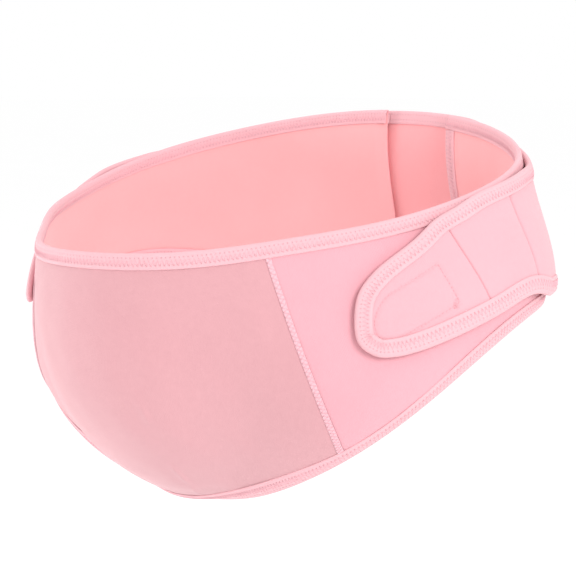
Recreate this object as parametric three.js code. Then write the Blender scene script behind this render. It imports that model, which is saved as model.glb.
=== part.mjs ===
// Maternity support belt, shown worn: a rounded belly cup, two wings that run round the hips to the back,
// and an outer back support whose two rounded tab ends come forward and fasten on the wings.
// Millimetres, +Z up. The wearer's front is along -Y and the wearer's left along +X.
// The origin is the middle of the waist rim. Angles run from the front, positive towards the wearer's left.

import * as THREE from 'three';

// The ring round the waist, measured at the middle of the cloth
const beltWidth = 333;
const beltDepth = 296;
const rimRise = 78;

// Lengths of the band from rim to hem, and how far the hem lies inside or outside the rim
const cupDrop = 165;
const bandDrop = 92;
const hemTuck = 89;
const hemFlare = 20;

// Cloth, edge tape and the room between layers
const cloth = 2.4;
const tape = 0.9;
const tapeWidth = 10;
const clearance = 0.35;
const tapeClearance = 0.5;
const patchClearance = 0.6;

// The outer support stands off the band a little more beside its seams: by how much, the angles between
// which that begins, and those between which it ends
const standOff = 1.6;
const standOffStart = 76;
const standOffFull = 92;
const standOffFade = 110;
const standOffEnd = 130;

// Seams between the cup and the wings, as angles at the rim and at the hem
const seamAtRim = 45;
const seamAtHem = 65.5;
const seamWidth = 3.4;
const seamThickness = 0.8;

// Where the wings end inside the back
const wingEnd = 161.5;
const rightEnd = -177;

// The left wing's end stands this far off the back panel, more than the rest, from one angle to another
const wingLift = 1.8;
const liftStart = 148;
const liftEnd = 157;

// The outer support: where its tabs begin and end, and its steps from the rim and the hem
const tabRoot = 112;
const tabTip = 64.5;
const rimStep = 2;
const hemStep = 10;

// Behind the tabs the upper edge dips by this much more, all of it from the second angle on
const shoulderDip = 4;
const shoulderFull = 126;

// The lower edge's step from the hem at the back, which is reached at the first of the next two angles
const backStep = 3;

// Between these angles the outer support's upper edge rises level with the rim
const levelStart = 140;
const levelEnd = 158;

// Seams of the outer support, as angles at its upper and lower edge
const sideSeamUpper = 106;
const sideSeamLower = 106.5;
const tabSeamUpper = 87;
const tabSeamLower = 93.5;

// Hook patches under the tabs: angles of their ends, how far the root's middle lies below the tab's upper
// edge and the tip's below the tab's own tip, half their height at both ends, the share of their length that
// is rounded off, and how many degrees further back the root's lower corner lies than its upper one
const patchRoot = 84;
const patchTip = 69;
const patchRootDrop = 36;
const patchTipDrop = 2;
const patchRootHalf = 10.5;
const patchTipHalf = 11;
const patchRounded = 0.3;
const patchSlant = 2.4;

// What joins the wings to the back panel
const backPatchWidth = 14;
const backSeamWidth = 8;
const backSeamInset = 1.6;
const backInset = 4;

// Sections of the band every 22.5 degrees from the front to the back. reach is the rim's distance from the
// origin as a share of the ring's, rise its height as a share of rimRise, tuck and flare the hem's as shares
// of hemTuck and hemFlare, and drop how much of the cup's extra depth the section has. lean and curl are the
// section's angles to the upright at the rim and at the hem, in degrees.
const bandSections = [
  { reach: 1, rise: -0.5, tuck: 1, flare: 0, drop: 1, lean: 16, curl: 68 },
  { reach: 0.93, rise: -0.48, tuck: 0.87, flare: 0, drop: 0.98, lean: 8, curl: 65 },
  { reach: 0.86, rise: -0.4, tuck: 0.48, flare: 0, drop: 0.94, lean: 14, curl: 43 },
  { reach: 0.89, rise: -0.29, tuck: 0, flare: 0, drop: 0.57, lean: 16, curl: 47 },
  { reach: 0.96, rise: -0.14, tuck: 0, flare: 1.05, drop: 0.04, lean: 20, curl: 19 },
  { reach: 1.06, rise: 0.08, tuck: 0, flare: 0.95, drop: -0.1, lean: 10, curl: 13 },
  { reach: 1.07, rise: 0.3, tuck: 0, flare: 0.55, drop: 0.17, lean: -1, curl: 2 },
  { reach: 1.02, rise: 0.45, tuck: 0, flare: 0.6, drop: 0.24, lean: -6, curl: -3 },
  { reach: 1, rise: 0.5, tuck: 0, flare: 0.7, drop: 0.25, lean: -8, curl: -4 },
];

// Outline of a tab from its root along the upper edge, round the tip and back along the lower edge. turn is
// the share of the way from root to tip, and drop the share of the height at the root.
const tabOutlinePoints = [
  { turn: 0, drop: 0 },
  { turn: 0.3, drop: 0 },
  { turn: 0.43, drop: 0.04 },
  { turn: 0.55, drop: 0.08 },
  { turn: 0.67, drop: 0.18 },
  { turn: 0.88, drop: 0.34 },
  { turn: 0.97, drop: 0.48 },
  { turn: 1, drop: 0.66 },
  { turn: 0.99, drop: 0.85 },
  { turn: 0.92, drop: 0.97 },
  { turn: 0.85, drop: 1 },
  { turn: 0.75, drop: 1 },
  { turn: 0.39, drop: 0.92 },
  { turn: 0.17, drop: 0.89 },
  { turn: 0, drop: 1 },
];

// Fineness of the facets
const cupColumns = 24;
const cupRows = 18;
const columnBias = 0.25;
const seamRows = 26;
const leftWingColumns = 24;
const rightWingColumns = 29;
const wingRows = 10;
const panelColumns = 4;
const tabColumns = 12;
const panelRows = 6;
const patchColumns = 8;
const patchRows = 4;
const loopBackSteps = 14;
const sideSteps = 2;
const loopTabSteps = 36;
const sectionSamples = 60;
const outlineSamples = 400;
const seamRounds = 12;
const halvings = 40;
const sameCorner = 0.002;

// How far the handles of a section's curve reach, as a share of the straight way from rim to hem
const handleShare = 0.4;
const fullTurn = 360;

// Colours
const cupColour = 0xf3b9c0;
const wingColour = 0xffc4d0;
const tapeColour = 0xffd2dc;
const innerColour = 0xfbb4ba;
const hookColour = 0xf8c3cf;

const toRadians = (degrees) => (degrees * Math.PI) / 180;
const between = (from, to, share) => from + (to - from) * share;
const smooth = (share) => THREE.MathUtils.smoothstep(share, 0, 1);

// How far an angle is turned from the front, the same on both sides
const turnedFrom = (angle) => Math.min(Math.abs(angle), fullTurn - Math.abs(angle));

// The smooth wave round the ring that meets one column of the section table, alike on both sides
function aroundRing(column) {
  const last = bandSections.length - 1;
  const half = (index) => (index === 0 || index === last ? 0.5 : 1);
  const waves = bandSections.map((unused, wave) => {
    const terms = bandSections.map((section, index) =>
      half(index) * section[column] * Math.cos((Math.PI * wave * index) / last));
    return (2 * half(wave) * terms.reduce((sum, term) => sum + term)) / last;
  });
  return (angle) => waves.reduce((sum, size, wave) => sum + size * Math.cos(wave * toRadians(angle)), 0);
}

const reachShare = aroundRing('reach');
const riseShare = aroundRing('rise');
const tuckShare = aroundRing('tuck');
const flareShare = aroundRing('flare');
const dropShare = aroundRing('drop');
const leanAngle = aroundRing('lean');
const curlAngle = aroundRing('curl');

// The band's section at one angle: a curve from rim to hem in the upright plane through the origin, with its
// running length. x is the distance from the origin's upright axis.
const sectionStore = new Map();

function bandSection(angle) {
  const known = sectionStore.get(angle);
  if (known) {
    return known;
  }
  const across = (beltWidth / 2) * Math.sin(toRadians(angle));
  const along = -(beltDepth / 2) * Math.cos(toRadians(angle));
  const ring = Math.hypot(across, along);
  const drop = bandDrop + (cupDrop - bandDrop) * dropShare(angle);
  const shift = hemFlare * flareShare(angle) - hemTuck * tuckShare(angle);
  const rim = new THREE.Vector2(ring * reachShare(angle), rimRise * riseShare(angle));
  const hem = new THREE.Vector2(rim.x + shift, rim.y - drop);
  const handle = handleShare * Math.hypot(shift, drop);
  const lean = toRadians(leanAngle(angle));
  const curl = toRadians(curlAngle(angle));
  const under = new THREE.Vector2(rim.x + handle * Math.sin(lean), rim.y - handle * Math.cos(lean));
  const over = new THREE.Vector2(hem.x + handle * Math.sin(curl), hem.y + handle * Math.cos(curl));
  const curve = new THREE.CubicBezierCurve(rim, under, over, hem);
  const points = curve.getPoints(sectionSamples);
  const lengths = [0];
  for (let i = 1; i < points.length; i += 1) {
    lengths.push(lengths[i - 1] + points[i].distanceTo(points[i - 1]));
  }
  const section = { points, lengths, toward: new THREE.Vector2(across / ring, along / ring) };
  sectionStore.set(angle, section);
  return section;
}

function hemAt(angle) {
  const { lengths } = bandSection(angle);
  return lengths[lengths.length - 1];
}

// The middle of the cloth at an angle and at a distance below the rim, measured along the cloth
function clothPoint(angle, down) {
  const { points, lengths, toward } = bandSection(angle);
  let i = 1;
  while (i < lengths.length - 1 && lengths[i] < down) {
    i += 1;
  }
  const share = (down - lengths[i - 1]) / (lengths[i] - lengths[i - 1]);
  const at = points[i - 1].clone().lerp(points[i], share);
  return new THREE.Vector3(at.x * toward.x, at.x * toward.y, at.y);
}

// Directions along the ring, down the cloth and out of it, the first two per degree and per millimetre
function clothFrame(angle, down) {
  const turn = 0.5;
  const step = 2;
  const round = clothPoint(angle + turn, down).sub(clothPoint(angle - turn, down)).divideScalar(2 * turn);
  const low = clothPoint(angle, down + step).sub(clothPoint(angle, down - step)).divideScalar(2 * step);
  const out = new THREE.Vector3().crossVectors(low, round).normalize();
  return { round, low, out };
}

function beltPoint(angle, down, offset) {
  return clothPoint(angle, down).addScaledVector(clothFrame(angle, down).out, offset);
}

// How far the middle of the outer support's cloth lies outside the middle of the band's
const supportGap = cloth + 2 * (tape + tapeClearance) + clearance;

function supportMiddle(angle) {
  const turned = turnedFrom(angle);
  const rise = smooth((turned - standOffStart) / (standOffFull - standOffStart));
  const fall = smooth((turned - standOffFade) / (standOffEnd - standOffFade));
  return supportGap + standOff * rise * (1 - fall);
}

function solidFrom(corners, faces) {
  const positions = corners.flatMap((corner) => corner.toArray());
  const whole = faces.filter(([a, b, c]) => {
    const same = (i, j) => corners[i].distanceTo(corners[j]) < sameCorner;
    return !same(a, b) && !same(b, c) && !same(c, a);
  });
  const geometry = new THREE.BufferGeometry();
  geometry.setAttribute('position', new THREE.Float32BufferAttribute(positions, 3));
  geometry.setIndex(whole.flat());
  geometry.computeVertexNormals();
  return geometry;
}

// A sheet of cloth between two offsets of the belt's surface. place gives the angle and the distance below
// the rim for a share of the way across and a share of the way down.
function sheet(columns, rows, place, inner, outer) {
  const corners = [];
  for (const offset of [inner, outer]) {
    for (let row = 0; row <= rows; row += 1) {
      for (let column = 0; column <= columns; column += 1) {
        const [angle, down] = place(column / columns, row / rows);
        corners.push(beltPoint(angle, down, offset(angle)));
      }
    }
  }
  const layer = (columns + 1) * (rows + 1);
  const at = (column, row, side) => side * layer + row * (columns + 1) + column;
  const faces = [];
  const quad = (a, b, c, d) => faces.push([a, b, c], [a, c, d]);
  for (let row = 0; row < rows; row += 1) {
    for (let column = 0; column < columns; column += 1) {
      const ring = [[0, 0], [0, 1], [1, 1], [1, 0]];
      quad(...ring.map(([right, lower]) => at(column + right, row + lower, 1)));
      quad(...ring.reverse().map(([right, lower]) => at(column + right, row + lower, 0)));
    }
  }
  for (let column = 0; column < columns; column += 1) {
    quad(at(column, 0, 0), at(column, 0, 1), at(column + 1, 0, 1), at(column + 1, 0, 0));
    quad(at(column + 1, rows, 0), at(column + 1, rows, 1), at(column, rows, 1), at(column, rows, 0));
  }
  for (let row = 0; row < rows; row += 1) {
    quad(at(0, row + 1, 0), at(0, row + 1, 1), at(0, row, 1), at(0, row, 0));
    quad(at(columns, row, 0), at(columns, row, 1), at(columns, row + 1, 1), at(columns, row + 1, 0));
  }
  return solidFrom(corners, faces);
}

// Edge tape folded over a cloth edge. Each stop of the route is a point of the edge with the inward
// direction, both as an angle and a distance below the rim. middle gives the cloth's offset at an angle.
function foldedTape(route, closed, middle) {
  const outside = cloth / 2 + tapeClearance + tape;
  const inside = cloth / 2 + tapeClearance;
  const profile = [
    [tapeWidth, -outside], [0, -outside], [0, outside], [tapeWidth, outside],
    [tapeWidth, inside], [tape, inside], [tape, -inside], [tapeWidth, -inside],
  ];
  const corners = route.flatMap(({ edge, inward }) => {
    const offset = middle(edge[0]);
    return profile.map(([depth, out]) => {
      const angle = edge[0] + inward[0] * depth;
      return beltPoint(angle, edge[1] + inward[1] * depth, offset + out);
    });
  });
  const count = profile.length;
  const faces = [];
  const quad = (a, b, c, d) => faces.push([a, b, c], [a, c, d]);
  const stops = closed ? route.length : route.length - 1;
  for (let stop = 0; stop < stops; stop += 1) {
    const here = stop * count;
    const next = ((stop + 1) % route.length) * count;
    for (let i = 0; i < count; i += 1) {
      const j = (i + 1) % count;
      quad(here + i, here + j, next + j, next + i);
    }
  }
  if (!closed) {
    const end = (route.length - 1) * count;
    for (let i = 0; i < 3; i += 1) {
      quad(i, 7 - i, 6 - i, i + 1);
      quad(end + i + 1, end + 6 - i, end + 7 - i, end + i);
    }
  }
  return solidFrom(corners, faces);
}

// The same with the route's sense turned round, for edges met from the other side
function turnedFaces(geometry) {
  const index = geometry.getIndex();
  for (let i = 0; i < index.count; i += 3) {
    const first = index.getX(i);
    index.setX(i, index.getX(i + 1));
    index.setX(i + 1, first);
  }
  geometry.computeVertexNormals();
  return geometry;
}

const material = (color, roughness) => new THREE.MeshStandardMaterial({ color, roughness, metalness: 0 });

function piece(name, geometry, color, roughness = 0.9) {
  const mesh = new THREE.Mesh(geometry, material(color, roughness));
  mesh.name = name;
  return mesh;
}

// Cloth edges end this far inside the crown of their edge tape
const edgeInset = tape + 2 * clearance;
const innerFace = () => -cloth / 2;
const outerFace = () => cloth / 2;

// The band's own middle, which the lifted end of the left wing leaves
const onBand = (angle) => -wingLift * smooth((angle - liftStart) / (liftEnd - liftStart));

const cupSeam = (share) => between(seamAtRim, seamAtHem, share);

// Angle of a cup column, from minus to plus its outermost angle, closer together near the seams
function cupColumn(across, edge) {
  const x = 2 * across - 1;
  return edge * (x + columnBias * x * (1 - x * x));
}

const degreesPerMillimetre = (angle, down) => 1 / clothFrame(angle, down).round.length();

// Place a share of the way down between two equal insets at an angle
const downBetween = (angle, share, inset) => between(inset, hemAt(angle) - inset, share);

// Rows of the band's cloth: one under each edge tape, the others evenly between them
function clothDown(angle, share, rows) {
  const row = share * rows;
  const hem = hemAt(angle);
  if (row <= 1) {
    return between(edgeInset, tapeWidth, row);
  }
  if (row >= rows - 1) {
    return between(hem - tapeWidth, hem - edgeInset, row - rows + 1);
  }
  return between(tapeWidth, hem - tapeWidth, (row - 1) / (rows - 2));
}

// Angle of the cup's seam at the distance below the rim that downAt gives, moved sideways by shift
function seamAngle(side, downAt, shift) {
  let angle = cupSeam(0.5);
  for (let i = 0; i < seamRounds; i += 1) {
    angle = cupSeam(downAt(angle) / hemAt(angle));
  }
  return side * (angle + shift * degreesPerMillimetre(angle, downAt(angle)));
}

function bellyCup() {
  const place = (across, share) => {
    const downAt = (angle) => clothDown(angle, share, cupRows);
    const edge = seamAngle(1, downAt, -clearance / 2);
    const angle = cupColumn(across, edge);
    return [angle, downAt(angle)];
  };
  return piece('belly_cup', sheet(cupColumns, cupRows, place, innerFace, outerFace), cupColour);
}

function wing(name, side, endAngle, columns) {
  const place = (across, share) => {
    const downAt = (angle) => clothDown(angle, share, wingRows);
    const seam = seamAngle(side, downAt, clearance / 2);
    const angle = side > 0 ? between(seam, endAngle, across) : between(endAngle, seam, across);
    return [angle, downAt(angle)];
  };
  const inner = (angle) => onBand(angle) - cloth / 2;
  const outer = (angle) => onBand(angle) + cloth / 2;
  return piece(name, sheet(columns, wingRows, place, inner, outer), wingColour);
}

function cupSeamTape(name, side) {
  const lift = cloth / 2 + clearance;
  const place = (across, share) => {
    const shift = between(-seamWidth / 2, seamWidth / 2, side > 0 ? across : 1 - across);
    const downAt = (angle) => downBetween(angle, share, tapeWidth + clearance);
    const angle = seamAngle(side, downAt, shift);
    return [angle, downAt(angle)];
  };
  return piece(name, sheet(2, seamRows, place, () => lift, () => lift + seamThickness), tapeColour);
}

// Angles of the stops along the band's edge tapes, the same as the cloth's columns
function bandStops(seam) {
  const evenly = (from, to, steps) =>
    Array.from({ length: steps }, (unused, i) => between(from, to, i / steps));
  const right = evenly(rightEnd, -seam, rightWingColumns);
  const front = evenly(0, 1, cupColumns).map((across) => cupColumn(across, seam));
  const left = evenly(seam, wingEnd, leftWingColumns);
  return [...right, ...front, ...left, wingEnd];
}

function bandBindings() {
  const rim = bandStops(seamAtRim).map((angle) => ({ edge: [angle, 0], inward: [0, 1] }));
  const hem = bandStops(seamAtHem).map((angle) => ({ edge: [angle, hemAt(angle)], inward: [0, -1] }));
  const top = foldedTape(rim, false, onBand);
  const bottom = turnedFaces(foldedTape(hem, false, onBand));
  return [piece('band_top_binding', top, tapeColour), piece('band_bottom_binding', bottom, tapeColour)];
}

function wingEndBinding() {
  const route = [];
  for (let i = 0; i <= wingRows; i += 1) {
    const down = downBetween(wingEnd, i / wingRows, tapeWidth + 3 * clearance);
    const inward = -degreesPerMillimetre(wingEnd, down);
    route.push({ edge: [wingEnd + edgeInset * -inward, down], inward: [inward, 0] });
  }
  return piece('left_wing_end_binding', foldedTape(route, false, onBand), tapeColour);
}

// The outer support's outline on the wearer's left, from the centre of the back along the upper edge, round
// the tab and back along the lower edge
const supportDrop = hemAt(tabRoot) - hemStep - rimStep;
const ringReach = (beltWidth + beltDepth) / 4;
const tabOutline = new THREE.CatmullRomCurve3(tabOutlinePoints.map(({ turn, drop }) => {
  const angle = between(tabRoot, tabTip, turn);
  return new THREE.Vector3(toRadians(angle) * ringReach, rimStep + supportDrop * drop, 0);
}), false, 'centripetal');

function tabEdge(share) {
  const at = tabOutline.getPointAt(share);
  return [THREE.MathUtils.radToDeg(at.x / ringReach), at.y];
}

const upperDown = (angle) => {
  const turned = turnedFrom(angle);
  const dip = shoulderDip * smooth((turned - tabRoot) / (shoulderFull - tabRoot));
  return (rimStep + dip) * (1 - smooth((turned - levelStart) / (levelEnd - levelStart)));
};
const upperEdge = (angle) => [angle, upperDown(angle)];
const lowerDown = (angle) => {
  const turned = turnedFrom(angle);
  const fall = smooth((turned - tabRoot) / (levelStart - tabRoot));
  return hemAt(angle) - between(hemStep, backStep, fall);
};
const lowerEdge = (angle) => [angle, lowerDown(angle)];

// Inward direction of an outline at a point, from its neighbours, per millimetre
function inwardAt(before, at, after) {
  const { round, low, out } = clothFrame(...at);
  const along = clothPoint(...after).sub(clothPoint(...before));
  const inward = new THREE.Vector3().crossVectors(out, along).normalize();
  const roundRound = round.dot(round);
  const lowLow = low.dot(low);
  const roundLow = round.dot(low);
  const share = roundRound * lowLow - roundLow * roundLow;
  const turn = (inward.dot(round) * lowLow - inward.dot(low) * roundLow) / share;
  const drop = (inward.dot(low) * roundRound - inward.dot(round) * roundLow) / share;
  return [turn, drop];
}

function supportRoute() {
  const half = [];
  for (let i = 0; i < loopBackSteps; i += 1) {
    half.push(upperEdge(between(180, tabRoot, i / loopBackSteps)));
  }
  for (let i = 0; i <= loopTabSteps; i += 1) {
    half.push(tabEdge(i / loopTabSteps));
  }
  for (let i = 1; i <= loopBackSteps; i += 1) {
    half.push(lowerEdge(between(tabRoot, 180, i / loopBackSteps)));
  }
  const other = half.slice(1, -1).reverse().map(([angle, down]) => [fullTurn - angle, down]);
  const loop = [...half, ...other];
  const count = loop.length;
  return loop.map((edge, i) => {
    const inward = inwardAt(loop[(i + count - 1) % count], edge, loop[(i + 1) % count]);
    return { edge, inward };
  });
}

const supportInner = (angle) => supportMiddle(angle) - cloth / 2;
const supportOuter = (angle) => supportMiddle(angle) + cloth / 2;

// A share of the tab's outline moved inside its edge tape
function insetTabEdge(share) {
  const step = 0.004;
  const clamp = (value) => Math.min(1, Math.max(0, value));
  const at = tabEdge(share);
  const inward = inwardAt(tabEdge(clamp(share - step)), at, tabEdge(clamp(share + step)));
  return [at[0] + inward[0] * edgeInset, at[1] + inward[1] * edgeInset];
}

// The share of the tab's outline at which it passes an angle, between two shares
function outlineShareAt(angle, from, to) {
  let low = from;
  let high = to;
  const falling = tabEdge(from)[0] > tabEdge(to)[0];
  for (let i = 0; i < halvings; i += 1) {
    const middle = (low + high) / 2;
    const beyond = falling ? tabEdge(middle)[0] < angle : tabEdge(middle)[0] > angle;
    if (beyond) {
      high = middle;
    } else {
      low = middle;
    }
  }
  return (low + high) / 2;
}

// The share of the outline at which the tab reaches furthest forward
function furthestShare() {
  const shares = Array.from({ length: outlineSamples + 1 }, (unused, i) => i / outlineSamples);
  return shares.reduce((best, share) => (tabEdge(share)[0] < tabEdge(best)[0] ? share : best));
}

const tipShare = furthestShare();
const tabUpperShare = outlineShareAt(tabSeamUpper, 0, tipShare);
const tabLowerShare = outlineShareAt(tabSeamLower, tipShare, 1);
const sideUpperShare = outlineShareAt(sideSeamUpper, 0, tipShare);
const sideLowerShare = outlineShareAt(sideSeamLower, tipShare, 1);

const mirrored = (side, [angle, down]) => [side * angle, down];

// Panel of the outer support between two pairs of outline points, given by shares across the panel
function supportPanel(name, side, columns, upper, lower) {
  const place = (across, share) => {
    const turned = side > 0 ? across : 1 - across;
    const top = upper(turned);
    const bottom = lower(turned);
    return mirrored(side, [between(top[0], bottom[0], share), between(top[1], bottom[1], share)]);
  };
  return piece(name, sheet(columns, panelRows, place, supportInner, supportOuter), wingColour);
}

const seamGap = (angle) => clearance * degreesPerMillimetre(angle, rimStep + supportDrop / 2);

function tabPanel(name, side) {
  const gap = seamGap(tabSeamUpper);
  const upper = (across) => {
    const share = between(tipShare, tabUpperShare, Math.sin(across * Math.PI / 2));
    const [angle, down] = insetTabEdge(share);
    return [angle - gap * across, down];
  };
  const lower = (across) => {
    const share = between(tipShare, tabLowerShare, Math.sin(across * Math.PI / 2));
    const [angle, down] = insetTabEdge(share);
    return [angle - gap * across, down];
  };
  return supportPanel(name, side, tabColumns, upper, lower);
}

function sidePanel(name, side) {
  const upper = (across) => insetTabEdge(between(tabUpperShare, sideUpperShare, across));
  const lower = (across) => insetTabEdge(between(tabLowerShare, sideLowerShare, across));
  return supportPanel(name, side, panelColumns, upper, lower);
}

// The back panel's columns are the stops of its edge tape, with a few more at each end up to the side seam
function backPanel() {
  const gap = seamGap(sideSeamUpper);
  const columns = 2 * (loopBackSteps + sideSteps);
  const edge = (across, seamShare, rootShare, straight) => {
    const column = across * columns;
    const ended = Math.round(Math.min(column, columns - column));
    if (ended < sideSteps) {
      const [angle, down] = insetTabEdge(between(seamShare, rootShare, ended / sideSteps));
      const shifted = angle + gap * (1 - ended / sideSteps);
      return [2 * column < columns ? shifted : fullTurn - shifted, down];
    }
    return straight(between(tabRoot, fullTurn - tabRoot, (column - sideSteps) / (2 * loopBackSteps)));
  };
  const upperPlace = (angle) => [angle, upperDown(angle) + edgeInset];
  const lowerPlace = (angle) => [angle, lowerDown(angle) - edgeInset];
  const upper = (across) => edge(across, sideUpperShare, 0, upperPlace);
  const lower = (across) => edge(across, sideLowerShare, 1, lowerPlace);
  return supportPanel('back_panel', 1, columns, upper, lower);
}

function backBinding() {
  return piece('back_binding', turnedFaces(foldedTape(supportRoute(), true, supportMiddle)), tapeColour);
}

// Hook patches fill the room between the band and the support, with a clearance on both sides
const patchInner = (angle) => onBand(angle) + cloth / 2 + patchClearance;
const patchOuter = (angle) => supportInner(angle) - patchClearance;

function tabHookPatch(name, side) {
  const rootEdge = tabEdge(outlineShareAt(patchRoot, 0, tipShare));
  const tipDown = tabEdge(tipShare)[1] + patchTipDrop;
  const place = (across, share) => {
    const turned = side > 0 ? across : 1 - across;
    const angle = between(patchTip, patchRoot, turned) + patchSlant * turned * (share - 0.5);
    const round = Math.sqrt(1 - Math.max(0, 1 - turned / patchRounded) ** 2);
    const middle = between(tipDown, rootEdge[1] + patchRootDrop, turned);
    const half = between(patchTipHalf, patchRootHalf, turned) * round;
    return mirrored(side, [angle, middle + between(-half, half, share)]);
  };
  return piece(name, sheet(patchColumns, patchRows, place, patchInner, patchOuter), hookColour);
}

// What joins the wings to the back panel ends inside the outer support's edge tapes
const backDown = (angle, share) => {
  const ended = tapeWidth + backInset;
  return between(upperDown(angle) + ended, lowerDown(angle) - ended, share);
};

function backHookPatch() {
  const far = wingEnd - (tapeWidth + clearance) * degreesPerMillimetre(wingEnd, tapeWidth);
  const near = far - backPatchWidth * degreesPerMillimetre(wingEnd, tapeWidth);
  const place = (across, share) => {
    const angle = between(near, far, across);
    return [angle, backDown(angle, share)];
  };
  return piece('back_hook_patch', sheet(2, patchRows, place, patchInner, patchOuter), hookColour);
}

function centreBackSeam() {
  const turn = degreesPerMillimetre(rightEnd, tapeWidth);
  const near = rightEnd + backSeamInset * turn;
  const place = (across, share) => {
    const angle = between(near, near + backSeamWidth * turn, across);
    return [angle, backDown(angle, share)];
  };
  return piece('centre_back_seam', sheet(2, patchRows, place, patchInner, patchOuter), innerColour);
}

const belt = new THREE.Group();
belt.add(
  bellyCup(),
  wing('left_wing', 1, wingEnd, leftWingColumns),
  wing('right_wing', -1, rightEnd, rightWingColumns),
  cupSeamTape('left_cup_seam', 1),
  cupSeamTape('right_cup_seam', -1),
  ...bandBindings(),
  wingEndBinding(),
  backPanel(),
  sidePanel('left_side_panel', 1),
  sidePanel('right_side_panel', -1),
  tabPanel('left_tab', 1),
  tabPanel('right_tab', -1),
  backBinding(),
  tabHookPatch('left_hook_patch', 1),
  tabHookPatch('right_hook_patch', -1),
  backHookPatch(),
  centreBackSeam(),
);

export default belt;
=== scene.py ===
"""Maternity support belt, shown worn: a rounded belly cup, two wings round the hips to the back, and an outer
back support whose two rounded tabs fasten on the wings. Metres, +Z up. The wearer's front is along -Y.
Lengths of the belt's own surface are in millimetres, and turn into metres where meshes are made."""
import math
import bpy
import numpy as np
from mathutils import Matrix, Vector


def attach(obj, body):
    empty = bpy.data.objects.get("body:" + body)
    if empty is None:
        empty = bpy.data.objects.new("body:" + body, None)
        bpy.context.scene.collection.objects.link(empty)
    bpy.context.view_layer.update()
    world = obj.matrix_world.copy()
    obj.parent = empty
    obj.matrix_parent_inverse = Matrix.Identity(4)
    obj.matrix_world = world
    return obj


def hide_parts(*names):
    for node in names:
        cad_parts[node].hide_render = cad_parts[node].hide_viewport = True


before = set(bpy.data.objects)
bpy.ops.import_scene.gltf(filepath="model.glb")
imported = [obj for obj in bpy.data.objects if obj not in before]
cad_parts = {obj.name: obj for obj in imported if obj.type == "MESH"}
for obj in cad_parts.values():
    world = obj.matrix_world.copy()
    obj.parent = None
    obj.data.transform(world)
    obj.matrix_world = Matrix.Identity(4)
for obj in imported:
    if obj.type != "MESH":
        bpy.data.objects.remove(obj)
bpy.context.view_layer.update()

MM = 0.001
SEED = 7

# The belt's own sizes, the same as its solids have
BELT_WIDTH, BELT_DEPTH, RIM_RISE = 333, 296, 78
CUP_DROP, BAND_DROP, HEM_TUCK, HEM_FLARE = 165, 92, 89, 20
CLOTH, TAPE, TAPE_WIDTH = 2.4, 0.9, 10
TAPE_CLEARANCE, CLEARANCE, PATCH_CLEARANCE = 0.5, 0.35, 0.6
STAND_OFF, STAND_OFF_START, STAND_OFF_FULL, STAND_OFF_FADE, STAND_OFF_END = 1.6, 76, 92, 110, 130
SEAM_AT_RIM, SEAM_AT_HEM, SEAM_WIDTH = 45, 65.5, 3.4
WING_END, RIGHT_END = 161.5, -177
WING_LIFT, LIFT_START, LIFT_END = 1.8, 148, 157
BACK_STEP, LEVEL_START, LEVEL_END = 3, 140, 158
TAB_ROOT, TAB_TIP, RIM_STEP, HEM_STEP = 112, 64.5, 2, 10
SHOULDER_DIP, SHOULDER_FULL = 4, 126
SIDE_SEAM = (106, 106.5)
TAB_SEAM = (87, 93.5)
PATCH_ROOT, PATCH_TIP, PATCH_ROOT_DROP, PATCH_TIP_DROP, PATCH_MIDDLE = 84, 69, 36, 2, 50
PATCH_ROOT_HALF, PATCH_TIP_HALF, PATCH_ROUNDED, PATCH_SLANT, PATCH_SEWN = 10.5, 11, 0.3, 2.4, 1.8
BACK_PATCH_WIDTH, BACK_SEAM_WIDTH, BACK_SEAM_INSET, BACK_INSET = 14, 8, 1.6, 4
EDGE_INSET = TAPE + 2 * CLEARANCE

# Sections every 22.5 degrees from the front to the back: reach, rise, tuck, flare, drop, lean, curl
SECTIONS = np.array([
    (1, -0.5, 1, 0, 1, 16, 68), (0.93, -0.48, 0.87, 0, 0.98, 8, 65),
    (0.86, -0.4, 0.48, 0, 0.94, 14, 43), (0.89, -0.29, 0, 0, 0.57, 16, 47),
    (0.96, -0.14, 0, 1.05, 0.04, 20, 19), (1.06, 0.08, 0, 0.95, -0.1, 10, 13),
    (1.07, 0.3, 0, 0.55, 0.17, -1, 2), (1.02, 0.45, 0, 0.6, 0.24, -6, -3),
    (1, 0.5, 0, 0.7, 0.25, -8, -4)])

# Outline of a tab from its root along the upper edge, round the tip and back: turn and drop
TAB_OUTLINE = np.array([
    (0, 0), (0.3, 0), (0.43, 0.04), (0.55, 0.08), (0.67, 0.18), (0.88, 0.34), (0.97, 0.48), (1, 0.66),
    (0.99, 0.85), (0.92, 0.97), (0.85, 1), (0.75, 1), (0.39, 0.92), (0.17, 0.89), (0, 1)])

# Handles of a section's curve, as a share of the straight line from rim to hem
HANDLE_SHARE = 0.4

# Points of the cloth that are worked out at once
CHUNK = 20000

# Rows of a band's grid from rim to hem, and a drop about midway between them
BAND_ROWS, MIDWAY = 56, 40

# The right wing thins by this much towards the back seam, over this length
SEAM_THINNER, SEAM_FADE = 1.3, 12

# Cloth that lies free waves a little: heights, sizes and seeds. It is calm near its edges, over a length
RIPPLE_WAVES = 7
CUP_RIPPLES = ((0.55, 60, 3), (0.3, 26, 5))
WING_RIPPLE, WING_RIPPLE_SIZE, PANEL_RIPPLE, PANEL_RIPPLE_SIZE = 0.3, 45, 0.28, 50
CUP_CALM, CUP_SEAM_CALM, WING_CALM, END_CALM, PANEL_CALM = 30, 8, 25, 12, 14

# Faint creases near the cup's lowest point: where each starts and ends (angle, drop), and its height
CUP_CREASES = [((16.5, 138), (19, 168), 1.0), ((19, 162), (16, 196), 0.8), ((14.5, 86), (16.5, 108), 0.7)]
CREASE_WIDTH, CREASE_FADE = 2.2, 0.35

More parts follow.
